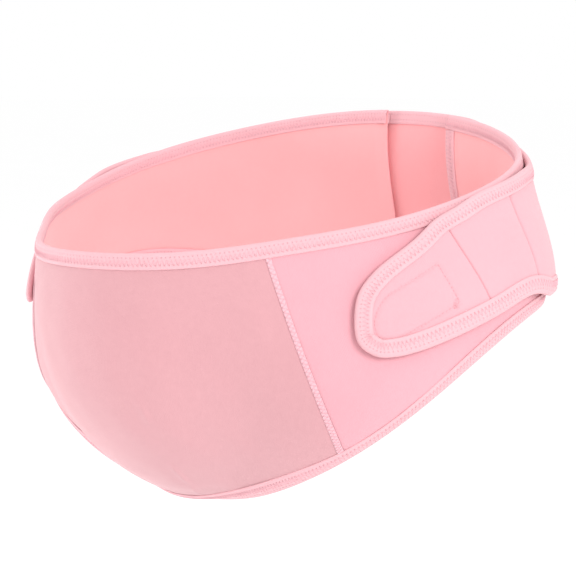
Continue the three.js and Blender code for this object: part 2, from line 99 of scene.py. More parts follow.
# Zigzag stitches of the edge tape: pitch, how far the two needle rows lie from the tape's fold, and how far
# the threads lie from the middle of the cloth
ZIGZAG_PITCH, ZIGZAG_ROWS, ZIGZAG_HEIGHT = 2.6, (4.2, 8.1), 2.38
TAPE_THREAD, SEAM_THREAD, PANEL_THREAD = 0.36, 0.42, 0.34

# The tape's slack as waves along it: height, wavelength and start, with less of it near the fold
TAPE_WAVES = ((0.12, 17.0, 0), (0.09, 7.3, 1))
TAPE_SLACK, FOLD_SLACK, FOLD_REACH = 0.045, 0.4, 3
TAPE_STEP = 1.5

# Ridge of a cup seam: height of its middle over the cloth, thickness, number of swells and their sizes
RIDGE_LIFT, RIDGE_THICKNESS, RIDGE_SWELLS = 0.22, 0.6, 42
SWELL, SWELL_LIFT, SWELL_THICKNESS = 0.25, 0.06, 0.1

# Its crossing threads: pitch, share of the ridge's width, height in two steps, and share of the way to the
# next. Its needle rows: places across the ridge, pitch, height and share
CROSSING_PITCH, CROSSING_REACH, CROSSING_BASE, CROSSING_LIFT, CROSSING_SHARE = 1.7, 0.95, 0.16, 0.42, 0.98
NEEDLE_ROWS, NEEDLE_PITCH, NEEDLE_LIFT, NEEDLE_SHARE = (-0.42, 0.42), 2.2, 0.36, 0.72

# Bar of thread at a hook patch's corner: threads, half their length, pitch, and where the bar starts
BAR_THREADS, BAR_HALF, BAR_PITCH, BAR_RISE, BAR_TURN = 12, 0.55, 0.5, 3, 1

# Stitches of the outer support: how high they lie, the share of the pitch that a thread fills, how far the
# rows of the back seam lie from its end, and those of the back hook patch from its edges
STITCH_LIFT, STITCH_SHARE, SEAM_ROWS, PATCH_ROW = 0.1, 0.74, (2.5, 8.5), 1

# How far the ends of a support panel sink into their seams, and over what width
PANEL_DIP, DIP_WIDTH = 0.12, 1.8

# Groove along the stitches of a sewn hook patch: depth and width. The middle rises over a length
GROOVE, GROOVE_WIDTH, GROOVE_RISE = 0.3, 0.9, 3


def waves_round(column):
    """The smooth wave round the ring that meets one column of the sections, alike on both sides."""
    last = len(SECTIONS) - 1
    half = np.ones(last + 1)
    half[[0, last]] = 0.5
    turns = np.arange(last + 1)
    sizes = [2 * half[k] / last * np.sum(half * SECTIONS[:, column] * np.cos(np.pi * k * turns / last))
             for k in turns]
    return lambda angle: sum(size * np.cos(k * np.radians(angle)) for k, size in enumerate(sizes))


REACH, RISE, TUCK, FLARE, DROP, LEAN, CURL = [waves_round(column) for column in range(7)]
STEPS = np.linspace(0, 1, 41)


def bezier(controls, t):
    """Points of cubic curves, with one row of four controls a curve."""
    weights = np.stack([(1 - t) ** 3, 3 * t * (1 - t) ** 2, 3 * t * t * (1 - t), t ** 3], -1)
    return (controls * weights).sum(-1)


def section(angle):
    """The section's four controls, outwards and upwards, and its direction from the upright axis."""
    turned = np.radians(angle)
    across, along = BELT_WIDTH / 2 * np.sin(turned), -BELT_DEPTH / 2 * np.cos(turned)
    ring = np.hypot(across, along)
    drop = BAND_DROP + (CUP_DROP - BAND_DROP) * DROP(angle)
    shift = HEM_FLARE * FLARE(angle) - HEM_TUCK * TUCK(angle)
    rim, top = ring * REACH(angle), RIM_RISE * RISE(angle)
    hem, low = rim + shift, top - drop
    handle = HANDLE_SHARE * np.hypot(shift, drop)
    lean, curl = np.radians(LEAN(angle)), np.radians(CURL(angle))
    out = np.stack([rim, rim + handle * np.sin(lean), hem + handle * np.sin(curl), hem], -1)
    up = np.stack([top, top - handle * np.cos(lean), low + handle * np.cos(curl), low], -1)
    return out, up, across / ring, along / ring


def running_lengths(out, up):
    x, z = bezier(out[:, None], STEPS[None]), bezier(up[:, None], STEPS[None])
    return np.cumsum(np.hypot(np.diff(x), np.diff(z)), axis=1)


def cloth_point(angle, down):
    """The middle of the band's cloth at an angle and a distance below the rim along the cloth."""
    angle, down = np.broadcast_arrays(np.asarray(angle, float), np.asarray(down, float))
    found = []
    flat = angle.ravel(), down.ravel()
    for start in range(0, flat[0].size, CHUNK):
        turned, below = (values[start:start + CHUNK] for values in flat)
        out, up, across, along = section(turned)
        ends = np.hstack([np.zeros((len(turned), 1)), running_lengths(out, up)])
        at = (ends[:, 1:-1] < below[:, None]).sum(1)
        rows = np.arange(len(turned))
        share = (below - ends[rows, at]) / (ends[rows, at + 1] - ends[rows, at])
        t = (at + share) / (len(STEPS) - 1)
        x, z = bezier(out, t), bezier(up, t)
        found.append(np.stack([x * across, x * along, z], -1))
    return np.concatenate(found).reshape(angle.shape + (3,))


def unit(vectors):
    return vectors / np.linalg.norm(vectors, axis=-1, keepdims=True)


def cloth_frame(angle, down):
    """Directions along the ring per degree, down the cloth per millimetre, and out of it."""
    angle, down = np.asarray(angle, float), np.asarray(down, float)
    round_it = cloth_point(angle + 0.5, down) - cloth_point(angle - 0.5, down)
    near = 2
    low = (cloth_point(angle, down + near) - cloth_point(angle, down - near)) / (2 * near)
    return round_it, low, unit(np.cross(low, round_it))


def belt_point(angle, down, offset):
    out = cloth_frame(angle, down)[2]
    return cloth_point(angle, down) + out * np.asarray(offset, float)[..., None]


RING = np.arange(-190, 191, 0.5)
HEMS = running_lengths(*section(RING)[:2])[:, -1]


def signed_turn(angle):
    """The same angle between -180 and 180 degrees, measured from the front."""
    return (np.asarray(angle, float) + 180) % 360 - 180


def hem_at(angle):
    return np.interp(signed_turn(angle), RING, HEMS)


def per_millimetre(angle, down):
    """Degrees round the ring for each millimetre."""
    return 1 / np.linalg.norm(cloth_frame(angle, down)[0], axis=-1)


def smooth(share):
    share = np.clip(share, 0, 1)
    return share * share * (3 - 2 * share)


def seam_angle(share, shift=0):
    """Angle of the cup's seam at a share of the way from rim to hem, moved round by shift."""
    angle = SEAM_AT_RIM + (SEAM_AT_HEM - SEAM_AT_RIM) * share
    return angle + shift * per_millimetre(angle, share * hem_at(angle))


def band_middle(angle):
    """The band's own middle is nought, but for the left wing's end, which stands off the back panel."""
    angle = np.asarray(angle, float)
    return -WING_LIFT * smooth((angle - LIFT_START) / (LIFT_END - LIFT_START))


def upper_edge(angle):
    """How far the outer support's upper edge lies below the rim: level with it at the back."""
    turned = np.abs(signed_turn(angle))
    dip = SHOULDER_DIP * smooth((turned - TAB_ROOT) / (SHOULDER_FULL - TAB_ROOT))
    return (RIM_STEP + dip) * (1 - smooth((turned - LEVEL_START) / (LEVEL_END - LEVEL_START)))


def lower_edge(angle):
    """How far the outer support's lower edge lies below the rim: nearly down to the hem at the back."""
    turned = np.abs(signed_turn(angle))
    fall = smooth((turned - TAB_ROOT) / (LEVEL_START - TAB_ROOT))
    return hem_at(angle) - HEM_STEP - (BACK_STEP - HEM_STEP) * fall


def support_middle(angle):
    """How far the middle of the outer support's cloth lies outside the band's."""
    turned = np.abs(signed_turn(angle))
    rise = smooth((turned - STAND_OFF_START) / (STAND_OFF_FULL - STAND_OFF_START))
    fall = smooth((turned - STAND_OFF_FADE) / (STAND_OFF_END - STAND_OFF_FADE))
    return CLOTH + 2 * (TAPE + TAPE_CLEARANCE) + CLEARANCE + STAND_OFF * rise * (1 - fall)


def tab_curve():
    """The tab's outline as a fine line of angles and distances below the rim, and its running shares.
    Each stretch is a cubic curve. Its slopes come from the points beside it and the square roots of the
    gaps between them."""
    fine = 60
    reach = (BELT_WIDTH + BELT_DEPTH) / 4
    height = hem_at(TAB_ROOT) - HEM_STEP - RIM_STEP
    angle = TAB_ROOT + (TAB_TIP - TAB_ROOT) * TAB_OUTLINE[:, 0]
    points = np.stack([np.radians(angle) * reach, RIM_STEP + height * TAB_OUTLINE[:, 1]], -1)
    points = np.vstack([2 * points[0] - points[1], points, 2 * points[-1] - points[-2]])
    gaps = np.linalg.norm(np.diff(points, axis=0), axis=1) ** 0.5
    t = np.linspace(0, 1, fine, endpoint=False)[:, None]
    line = []
    for i in range(1, len(points) - 2):
        a, b, c, d = points[i - 1:i + 3]
        before, here, after = gaps[i - 1:i + 2]
        start = here * ((b - a) / before - (c - a) / (before + here) + (c - b) / here)
        end = here * ((c - b) / here - (d - b) / (here + after) + (d - c) / after)
        line.append((2 * t ** 3 - 3 * t ** 2 + 1) * b + (t ** 3 - 2 * t ** 2 + t) * start
                    + (3 * t ** 2 - 2 * t ** 3) * c + (t ** 3 - t ** 2) * end)
    line = np.vstack([*line, points[-2:-1]])
    run = np.concatenate([[0], np.cumsum(np.linalg.norm(np.diff(line, axis=0), axis=1))])
    return np.degrees(line[:, 0] / reach), line[:, 1], run / run[-1]


TAB_ANGLES, TAB_DOWNS, TAB_SHARES = tab_curve()
TIP_SHARE = TAB_SHARES[np.argmin(TAB_ANGLES)]


def tab_edge(share):
    return np.interp(share, TAB_SHARES, TAB_ANGLES), np.interp(share, TAB_SHARES, TAB_DOWNS)


def share_at(angle, upper):
    """Share of the tab's outline at which its upper or lower edge passes an angle."""
    part = TAB_SHARES <= TIP_SHARE if upper else TAB_SHARES >= TIP_SHARE
    order = np.argsort(TAB_ANGLES[part])
    return float(np.interp(angle, TAB_ANGLES[part][order], TAB_SHARES[part][order]))


def inward_of(angle, down, along):
    """Inward direction of an outline at its points, in degrees and millimetres down for each millimetre."""
    round_it, low, out = cloth_frame(angle, down)
    inward = unit(np.cross(out, along))
    rr, ll, rl = (np.sum(a * b, -1) for a, b in ((round_it, round_it), (low, low), (round_it, low)))
    ir, il = np.sum(inward * round_it, -1), np.sum(inward * low, -1)
    whole = rr * ll - rl * rl
    return (ir * ll - il * rl) / whole, (il * rr - ir * rl) / whole


def inset_tab_edge(share):
    near = 0.004
    share = np.clip(share, 0, 1)
    ahead, behind = (cloth_point(*tab_edge(np.clip(share + step, 0, 1))) for step in (near, -near))
    angle, down = tab_edge(share)
    turn, drop = inward_of(angle, down, ahead - behind)
    return angle + turn * EDGE_INSET, down + drop * EDGE_INSET


def ripple(points, size, seed):
    """Soft unevenness of cloth that lies free: a few crossing waves, at most about 1 in height."""
    rng = np.random.default_rng(seed)
    total = np.zeros(points.shape[:-1])
    for _ in range(RIPPLE_WAVES):
        direction = unit(rng.normal(size=3)) * rng.uniform(0.6, 1.6) / size
        total += np.sin(2 * np.pi * (points @ direction) + rng.uniform(0, 2 * np.pi)) / 4
    return total


def crease(angle, down, start, end, height):
    """Relief of a soft crease that runs from one place on the cloth to another and fades at its ends."""
    turn = per_millimetre(*start)
    across, along = (end[0] - start[0]) / turn, end[1] - start[1]
    length = math.hypot(across, along)
    right, below = (angle - start[0]) / turn, down - start[1]
    share = (right * across + below * along) / length ** 2
    aside = (right * along - below * across) / length
    fade = smooth(share / CREASE_FADE) * smooth((1 - share) / CREASE_FADE)
    return height * fade * np.exp(-(aside / CREASE_WIDTH) ** 2)


# Materials


class Shade:
    """A value in a material's node tree. Sums and products of such values add the nodes for them."""

    def __init__(self, tree, socket):
        self.tree, self.socket = tree, socket

    def maths(self, operation, *values):
        node = self.tree.nodes.new("ShaderNodeMath")
        node.operation = operation
        for socket, value in zip(node.inputs, values):
            fill(self.tree, socket, value)
        return Shade(self.tree, node.outputs[0])

    def __add__(self, other):
        return self.maths("ADD", self, other)

    def __radd__(self, other):
        return self.maths("ADD", other, self)

    def __sub__(self, other):
        return self.maths("SUBTRACT", self, other)

    def __rsub__(self, other):
        return self.maths("SUBTRACT", other, self)

    def __mul__(self, other):
        return self.maths("MULTIPLY", self, other)

    def __truediv__(self, other):
        return self.maths("DIVIDE", self, other)

    def __abs__(self):
        return self.maths("ABSOLUTE", self)

    def sine(self):
        return self.maths("SINE", self)

    def within(self, low, high):
        return self.maths("MINIMUM", self.maths("MAXIMUM", self, low), high)

    def wrapped(self, size):
        """Distance from the nearest whole number of sizes, from minus to plus half a size."""
        return self.maths("WRAP", self, size / 2, -size / 2)


def fill(tree, socket, value):
    if isinstance(value, Shade):
        value = value.socket
    if isinstance(value, bpy.types.NodeSocket):
        tree.links.new(value, socket)
    elif value is not None:
        socket.default_value = value


def add_node(tree, kind, settings, values, output=0):
    """Output of a new node, once its settings and inputs are filled in."""
    made = tree.nodes.new(kind)
    for setting, value in settings.items():
        setattr(made, setting, value)
    for socket, value in values.items():
        fill(tree, made.inputs[socket], value)
    return made.outputs[output]


class Look:
    """A material under construction, with its surface shader."""

    def __init__(self, name, **constants):
        self.material = bpy.data.materials.new(name)
        self.material.use_nodes = True
        self.tree = self.material.node_tree
        self.surface = self.tree.nodes["Principled BSDF"]
        for socket, value in constants.items():
            self.surface.inputs[socket.replace("_", " ")].default_value = value

    def node(self, kind, settings, values, output=0):
        return Shade(self.tree, add_node(self.tree, kind, settings, values, output))

    def mix(self, factor, low, high):
        return self.node("ShaderNodeMix", {"data_type": "RGBA"}, {0: factor, 6: low, 7: high}, 2)

    def place(self):
        return self.node("ShaderNodeTexCoord", {}, {}, "Object")

    def across_and_down(self):
        parts = self.node("ShaderNodeSeparateXYZ", {}, {"Vector": self.node("ShaderNodeUVMap", {}, {})})
        return parts, Shade(self.tree, parts.socket.node.outputs[1])

    def noise(self, place, scale, detail, roughness=0.5):
        return self.node("ShaderNodeTexNoise", {},
                         {"Vector": place, "Scale": scale, "Detail": detail, "Roughness": roughness})

    def finish(self, colour, height, depth, roughness):
        """Colour, relief of that depth in metres, and roughness into the surface shader."""
        bump = self.node("ShaderNodeBump", {}, {"Height": height, "Strength": 1.0, "Distance": depth})
        fill(self.tree, self.surface.inputs["Base Color"], colour)
        fill(self.tree, self.surface.inputs["Normal"], bump)
        fill(self.tree, self.surface.inputs["Roughness"], roughness)
        return self.material


def knit(name, light, deep, fuzz, rib):
    """Fine stretch knit: upright ribs rib millimetres apart, a short nap, and soft patches of colour."""
    look = Look(name, Sheen_Weight=0.25, Sheen_Roughness=0.6, Specular_IOR_Level=0.25)
    place = look.place()
    across, down = look.across_and_down()
    patches = look.noise(place, 22, 3)
    mottle = look.noise(place, 260, 4, 0.65)
    nap = look.noise(place, 1500, 3, 0.7)
    ribs = (across * (2 * math.pi / rib)).sine() * 0.5 + 0.5
    courses = (down * (2 * math.pi / (rib * 0.8)) + nap * 2.0).sine() * 0.5 + 0.5
    weave = ribs * 0.6 + courses * 0.4
    tone = (patches * 0.55 + mottle * (0.25 + fuzz) + nap * 0.3 + weave * 0.12 - 0.12).within(0, 1)
    height = weave * 0.35 + nap * (0.5 + fuzz) + mottle * fuzz
    return look.finish(look.mix(tone, deep, light), height, depth=0.00022, roughness=0.82 + nap * 0.15)


def ribbon(name, light, deep):
    """Edge tape: fine cross ribs, two rows of needle holes and the dents that the thread pulls."""
    look = Look(name, Sheen_Weight=0.15, Specular_IOR_Level=0.3)
    place = look.place()
    along, over = look.across_and_down()
    leg = abs(over)
    rib, line, hole_radius = 0.7, 0.55, 0.6
    ribs = (along * (2 * math.pi / rib)).sine() * 0.5 + 0.5
    lines = (over * (2 * math.pi / line)).sine() * 0.5 + 0.5
    nap = look.noise(place, 1800, 2, 0.6)
    patches = look.noise(place, 40, 2)

    def row_of_holes(row, shift):
        side = (along - shift).wrapped(ZIGZAG_PITCH)
        off = leg - row
        return (1 - (side * side + off * off) / hole_radius ** 2).within(0, 1)

    holes = row_of_holes(ZIGZAG_ROWS[0], 0) + row_of_holes(ZIGZAG_ROWS[1], ZIGZAG_PITCH / 2)
    trench = (1 - abs(leg - sum(ZIGZAG_ROWS) / 2) / (ZIGZAG_ROWS[1] - ZIGZAG_ROWS[0])).within(0, 1)
    height = ribs * 0.25 + lines * 0.15 + nap * 0.4 - holes - trench * 0.5
    tone = (patches * 0.4 + nap * 0.3 + ribs * 0.2 + 0.15).within(0, 1)
    cloth = look.mix(tone, deep, light)
    # The needle holes are coloured darker: painted shade in the holes
    painted_hole_shade = (0.50, 0.29, 0.33, 1)
    colour = look.mix((holes * 0.5).within(0, 1), cloth, painted_hole_shade)
    return look.finish(colour, height, depth=0.0003, roughness=0.75 + nap * 0.2)


def thread(name, light, deep):
    """Spun sewing thread, with a slight twist."""
    look = Look(name, Sheen_Weight=0.1, Specular_IOR_Level=0.4)
    place = look.place()
    twist = look.noise(place, 5200, 1)
    shine = look.noise(place, 300, 1)
    tone = (twist * 0.5 + shine * 0.6).within(0, 1)
    return look.finish(look.mix(tone, deep, light), twist, depth=0.00006, roughness=0.5 + twist * 0.3)


def hooks(name, light, deep):
    """Hook tape: a dense bed of tiny hooks."""
    look = Look(name, Specular_IOR_Level=0.4)
    cells = look.node("ShaderNodeTexVoronoi", {}, {"Vector": look.place(), "Scale": 900}, "Distance")
    tone = (1.2 - cells * 1.4).within(0, 1)
    return look.finish(look.mix(tone, deep, light), 1 - cells, depth=0.0004, roughness=0.45 + cells * 0.3)


CUP_FACE = knit("cup jersey", (0.585, 0.30, 0.325, 1), (0.52, 0.255, 0.28, 1), fuzz=0.35, rib=1.0)
# Inside of the cup: the jersey's own pink made brighter and deeper than its outer face, as painted light for
# the light bounced round inside the belt
CUP_BACK_TONE_AND_PAINTED_LIGHT = knit("cup jersey inside with painted light", (0.86, 0.42, 0.43, 1), (0.80, 0.37, 0.385, 1), fuzz=0.2, rib=1.0)
WING_FACE = knit("wing jersey", (0.70, 0.34, 0.385, 1), (0.64, 0.29, 0.335, 1), fuzz=0.15, rib=0.9)
# Inside of the wings: the same painted bounce light over the jersey's own pink
WING_BACK_TONE_AND_PAINTED_LIGHT = knit("wing jersey inside with painted light", (0.85, 0.385, 0.395, 1), (0.80, 0.34, 0.35, 1), fuzz=0.1, rib=0.9)
PANEL_FACE = knit("loop faced panel", (0.71, 0.36, 0.40, 1), (0.65, 0.31, 0.35, 1), fuzz=0.3, rib=0.7)
# Inside of the support panels, also used for the centre back seam: the same painted bounce light over the
# panel's own pink
PANEL_BACK_TONE_AND_PAINTED_LIGHT = knit("panel back face with painted light", (0.87, 0.365, 0.38, 1), (0.81, 0.32, 0.335, 1), fuzz=0.1, rib=0.9)
EDGE = ribbon("edge tape", (0.76, 0.42, 0.455, 1), (0.68, 0.36, 0.395, 1))
THREAD = thread("sewing thread", (0.74, 0.40, 0.445, 1), (0.63, 0.325, 0.37, 1))
SEAM = knit("seam tape", (0.77, 0.45, 0.50, 1), (0.69, 0.39, 0.435, 1), fuzz=0.2, rib=0.6)
HOOK = hooks("hook tape", (0.72, 0.42, 0.48, 1), (0.46, 0.22, 0.26, 1))


# Meshes


def volume(points, faces):
    """Signed volume of a closed mesh of quads and triangles."""
    total = 0.0
    for face in (faces[:, [0, 1, 2]], faces[:, [0, 2, 3]]):
        a, b, c = points[face[:, 0]], points[face[:, 1]], points[face[:, 2]]
        total += np.einsum("ij,ij->i", a, np.cross(b, c)).sum() / 6
    return total


def mesh_piece(node, points, faces, uv, looks, which=None):
    """A closed mesh from points and uv in millimetres and quads. It stands for its CAD node."""
    name = f"{node}_cloth"
    faces = np.asarray(faces)
    if volume(points, faces) < 0:
        faces = faces[:, ::-1]
    mesh = bpy.data.meshes.new(name)
    mesh.from_pydata((points * MM).tolist(), [], faces.tolist())
    layer = mesh.uv_layers.new(name="cloth")
    corners = np.empty(len(mesh.loops), np.int32)
    mesh.loops.foreach_get("vertex_index", corners)
    layer.data.foreach_set("uv", uv[corners].astype(np.float32).ravel())
    for look in looks:
        mesh.materials.append(look)
    if which is not None:
        mesh.polygons.foreach_set("material_index", np.asarray(which, np.int32))
    mesh.polygons.foreach_set("use_smooth", np.ones(len(faces), bool))
    mesh.update()
    piece = bpy.data.objects.new(name, mesh)
    bpy.context.scene.collection.objects.link(piece)
    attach(piece, "root")
    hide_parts(node)
    return piece


def grid(columns, rows):
    return np.meshgrid(np.linspace(0, 1, columns + 1), np.linspace(0, 1, rows + 1))


def border_distance(points, axis):
    """Distance of each grid point from the nearer end of its row or column."""
    steps = np.linalg.norm(np.diff(points, axis=axis), axis=-1)
    run = np.cumsum(steps, axis=axis)
    run = np.insert(run, 0, 0, axis=axis)
    return np.minimum(run, np.take(run, [-1], axis=axis) - run)


def cloth_piece(name, angle, down, middle, thickness, looks, relief=0, round_edge=1.0, dip=0):
    """A cloth panel over a grid of angles and distances below the rim, rounded off along its edges. middle is
    the offset of its middle, relief its unevenness, and dip how far its ends sink into their seams."""
    rows, columns = angle.shape
    at, out = cloth_point(angle, down), cloth_frame(angle, down)[2]
    sideways, upright = border_distance(at, 1), border_distance(at, 0)
    near = np.clip(np.minimum(sideways, upright) / round_edge, 0, 1)
    thinnest = 0.08
    half = thickness / 2 * np.sqrt(np.maximum(thinnest, 1 - (1 - near) ** 2))
    lift = middle + relief - dip * np.exp(-(sideways / DIP_WIDTH) ** 2)
    layers = [at + out * (lift + side * half)[..., None] for side in (1, -1)]
    points = np.concatenate([layer.reshape(-1, 3) for layer in layers])
    run = np.cumsum(np.insert(np.linalg.norm(np.diff(at, axis=1), axis=-1), 0, 0, axis=1), axis=1)
    uv = np.tile(np.stack([run, down], -1).reshape(-1, 2), (2, 1))
    index = np.arange(2 * rows * columns).reshape(2, rows, columns)
    front, back = index
    face = [np.stack([front[:-1, :-1], front[1:, :-1], front[1:, 1:], front[:-1, 1:]], -1).reshape(-1, 4),
            np.stack([back[:-1, :-1], back[:-1, 1:], back[1:, 1:], back[1:, :-1]], -1).reshape(-1, 4)]
    for f, b in ((front[0], back[0]), (front[-1, ::-1], back[-1, ::-1]),
                 (front[::-1, 0], back[::-1, 0]), (front[:, -1], back[:, -1])):
        face.append(np.stack([b[:-1], f[:-1], f[1:], b[1:]], -1))
    faces = np.concatenate(face)
    which = np.zeros(len(faces))
    which[len(face[0]):2 * len(face[0])] = 1
    piece = mesh_piece(name, points, faces, uv, looks, which)
    wide = float(run[:, -1].max())
    high = float(np.linalg.norm(np.diff(at, axis=0), axis=-1).sum(0).max())
    cell = np.cross(at[1:, :-1] - at[:-1, :-1], at[:-1, 1:] - at[:-1, :-1])
    return piece, (high * MM, wide * MM), float(np.linalg.norm(cell, axis=-1).sum()) * MM * MM


# Outer and inner outline of the folded tape's section: depth from the fold, offset from the cloth's middle
TAPE_OUTER = [(10, 1.62), (9.85, 1.95), (9.3, 2.15), (7, 2.3), (4.5, 2.35), (2.6, 2.25), (1.2, 1.85),
              (0.35, 1.1), (0.02, 0.35)]
TAPE_INNER = [(10, 1.27), (9.8, 1.26), (9.3, 1.26), (7, 1.26), (4.5, 1.26), (2.9, 1.25), (2.0, 1.0),
              (1.3, 0.6), (1.05, 0.2)]


def mirrored_profile(half):
    half = np.array(half, float)
    return np.vstack([half, half[::-1] * (1, -1)])


def even_route(angle, down, step, closed):
    """The same line with points a step apart, and their running length in millimetres."""
    if closed:
        angle, down = np.append(angle, angle[0]), np.append(down, down[0])
    run = np.insert(np.cumsum(np.linalg.norm(np.diff(cloth_point(angle, down), axis=0), axis=1)), 0, 0)
    count = 2 * round(run[-1] / step / 2)
    at = np.linspace(0, run[-1], count + 1)
    if closed:
        at = at[:-1]
    return np.interp(at, run, angle), np.interp(at, run, down), at, run[-1]


def route_inward(angle, down, closed, sign):
    points = cloth_point(angle, down)
    if closed:
        along = np.roll(points, -1, axis=0) - np.roll(points, 1, axis=0)
    else:
        along = np.gradient(points, axis=0)
    return inward_of(angle, down, -sign * along)


def tape_piece(name, route, closed, sign, middle):
    """Edge tape folded over the edge that the route follows. sign is which side of the route is inward."""
    angle, down, at, length = even_route(*route, TAPE_STEP, closed)
    turn, drop = route_inward(angle, down, closed, sign)
    outer, inner = mirrored_profile(TAPE_OUTER), mirrored_profile(TAPE_INNER)
    profile = np.vstack([outer, inner[::-1]])
    across = np.insert(np.cumsum(np.linalg.norm(np.diff(outer, axis=0), axis=1)), 0, 0)
    across = across - across[-1] / 2
    depth, out = profile[:, 0], profile[:, 1]
    turned = angle[:, None] + turn[:, None] * depth
    below = down[:, None] + drop[:, None] * depth
    pull = sum(height * np.sin(2 * np.pi * at / wave + start) for height, wave, start in TAPE_WAVES)
    loose = 1 + TAPE_SLACK * pull[:, None] * np.where(depth > FOLD_REACH, 1, FOLD_SLACK)
    points = belt_point(turned, below, middle(angle)[:, None] + out * loose)
    stops, count = turned.shape
    uv = np.stack([np.repeat(at, count), np.tile(np.concatenate([across, across[::-1]]), stops)], -1)
    index = np.arange(stops * count).reshape(stops, count)
    here, ahead = (index, np.roll(index, -1, axis=0)) if closed else (index[:-1], index[1:])
    faces = np.stack([here, np.roll(here, -1, axis=1), np.roll(ahead, -1, axis=1), ahead], -1).reshape(-1, 4)
    if not closed:
        for row, order in ((index[0], 1), (index[-1], -1)):
            top, under = row[:len(outer)], row[len(outer):][::-1]
            cap = np.stack([top[:-1], under[:-1], under[1:], top[1:]], -1)
            faces = np.vstack([faces, cap[:, ::order]])
    piece = mesh_piece(name, points.reshape(-1, 3), faces, uv, [EDGE])
    if closed:
        join_ends(piece.data, length)
    return piece, (2 * across[-1] * MM, length * MM)


def join_ends(mesh, length):
    """Lets the closing quads of a loop run on to its full length, and not back to nought."""
    layer = mesh.uv_layers[0].data
    flat = np.empty(2 * len(layer), np.float32)
    layer.foreach_get("uv", flat)
    along = flat.reshape(-1, 4, 2)[..., 0]
    closing = np.ptp(along, axis=1, keepdims=True) > length / 2
    along += np.where(closing & (along < length / 2), np.float32(length), np.float32(0))
    layer.foreach_set("uv", flat)


# Stitches


def stitch_tree():
    """Node group that lays one thread on every point, along one vector and standing on another."""
    tree = bpy.data.node_groups.new("stitches", "GeometryNodeTree")
    tree.is_modifier = True
    for name, kind, way in (("Points", "Geometry", "INPUT"), ("Thickness", "Float", "INPUT"),
                            ("Unevenness", "Float", "INPUT"), ("Seed", "Int", "INPUT"),
                            ("Thread", "Material", "INPUT"), ("Stitches", "Geometry", "OUTPUT")):
        tree.interface.new_socket(name, in_out=way, socket_type=f"NodeSocket{kind}")

    def node(kind, settings, values, output=0):
        return add_node(tree, kind, settings, values, output)

    given = tree.nodes.new("NodeGroupInput").outputs
    ball = node("GeometryNodeMeshUVSphere", {}, {"Segments": 6, "Rings": 5, "Radius": 0.5})
    vector = {"data_type": "FLOAT_VECTOR"}
    along = node("GeometryNodeInputNamedAttribute", vector, {"Name": "along"})
    out = node("GeometryNodeInputNamedAttribute", vector, {"Name": "out"})
    long = node("ShaderNodeVectorMath", {"operation": "LENGTH"}, {0: along}, 1)
    uneven = node("ShaderNodeMath", {"operation": "SUBTRACT"}, {0: 1.0, 1: given["Unevenness"]})
    wider = node("ShaderNodeMath", {"operation": "ADD"}, {0: 1.0, 1: given["Unevenness"]})
    vary = node("FunctionNodeRandomValue", {"data_type": "FLOAT"},
                {2: uneven, 3: wider, "Seed": given["Seed"]}, 1)
    thick = node("ShaderNodeMath", {"operation": "MULTIPLY"}, {0: given["Thickness"], 1: vary})
    size = node("ShaderNodeCombineXYZ", {}, {0: long, 1: thick, 2: thick})
    turned = node("FunctionNodeAlignRotationToVector", {"axis": "X"}, {"Vector": along})
    stood = node("FunctionNodeAlignRotationToVector", {"axis": "Z", "pivot_axis": "X"},
                 {"Rotation": turned, "Vector": out})
    laid = node("GeometryNodeInstanceOnPoints", {},
                {"Points": given["Points"], "Instance": ball, "Rotation": stood, "Scale": size})
    real = node("GeometryNodeRealizeInstances", {}, {"Geometry": laid})
    soft = node("GeometryNodeSetShadeSmooth", {}, {"Geometry": real})
    dressed = node("GeometryNodeSetMaterial", {}, {"Geometry": soft, "Material": given["Thread"]})
    tree.links.new(dressed, tree.nodes.new("NodeGroupOutput").inputs[0])
    return tree


STITCHES = stitch_tree()


def lay_stitches(name, points, along, out, thickness):
    """Threads centred on the points in millimetres, each as long as its along vector."""
    mesh = bpy.data.meshes.new(name)
    mesh.from_pydata((points * MM).tolist(), [], [])
    for label, vectors in (("along", along * MM), ("out", out)):
        held = mesh.attributes.new(label, "FLOAT_VECTOR", "POINT")
        held.data.foreach_set("vector", vectors.astype(np.float32).ravel())
    piece = bpy.data.objects.new(name, mesh)
    bpy.context.scene.collection.objects.link(piece)
    layer = piece.modifiers.new("stitches", "NODES")
    layer.node_group = STITCHES
    chosen = {"Thickness": thickness * MM, "Unevenness": 0.12, "Seed": SEED, "Thread": THREAD}
    for item in STITCHES.interface.items_tree:
        if item.name in chosen:
            layer[item.identifier] = chosen[item.name]
    graph = bpy.context.evaluated_depsgraph_get()
    made = bpy.data.meshes.new_from_object(piece.evaluated_get(graph))
    piece.modifiers.remove(layer)
    piece.data = made
    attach(piece, "root")
    return piece


def threads_along(angle, down, offset, length_share=1.0):
    """Threads from each point of a line to the next, in pairs of middle, along and out."""
    points = belt_point(angle, down, offset)
    out = cloth_frame(angle, down)[2]
    middle = (points[1:] + points[:-1]) / 2
    return middle, (points[1:] - points[:-1]) * length_share, unit(out[1:] + out[:-1])


def zigzag(route, closed, sign, middle, side):
    """Zigzag threads on one leg of an edge tape. side is 1 for its outer face and -1 for its inner face."""
    angle, down, _, _ = even_route(*route, ZIGZAG_PITCH / 2, closed)
    turn, drop = route_inward(angle, down, closed, sign)
    depth = np.where(np.arange(len(angle)) % 2 == 0, *ZIGZAG_ROWS)
    offset = middle(angle) + side * ZIGZAG_HEIGHT
    return threads_along(angle + turn * depth, down + drop * depth, offset)


def straight_row(angle, down, offset, pitch, share):
    """A row of straight stitches along a line. share is how much of the pitch each thread fills."""
    angle, down, _, _ = even_route(np.asarray(angle, float), np.asarray(down, float), pitch, False)
    return threads_along(angle, down, offset(angle), share)


def joined(*rows):
    return [np.concatenate(parts) for parts in zip(*rows)]


# The belt's pieces


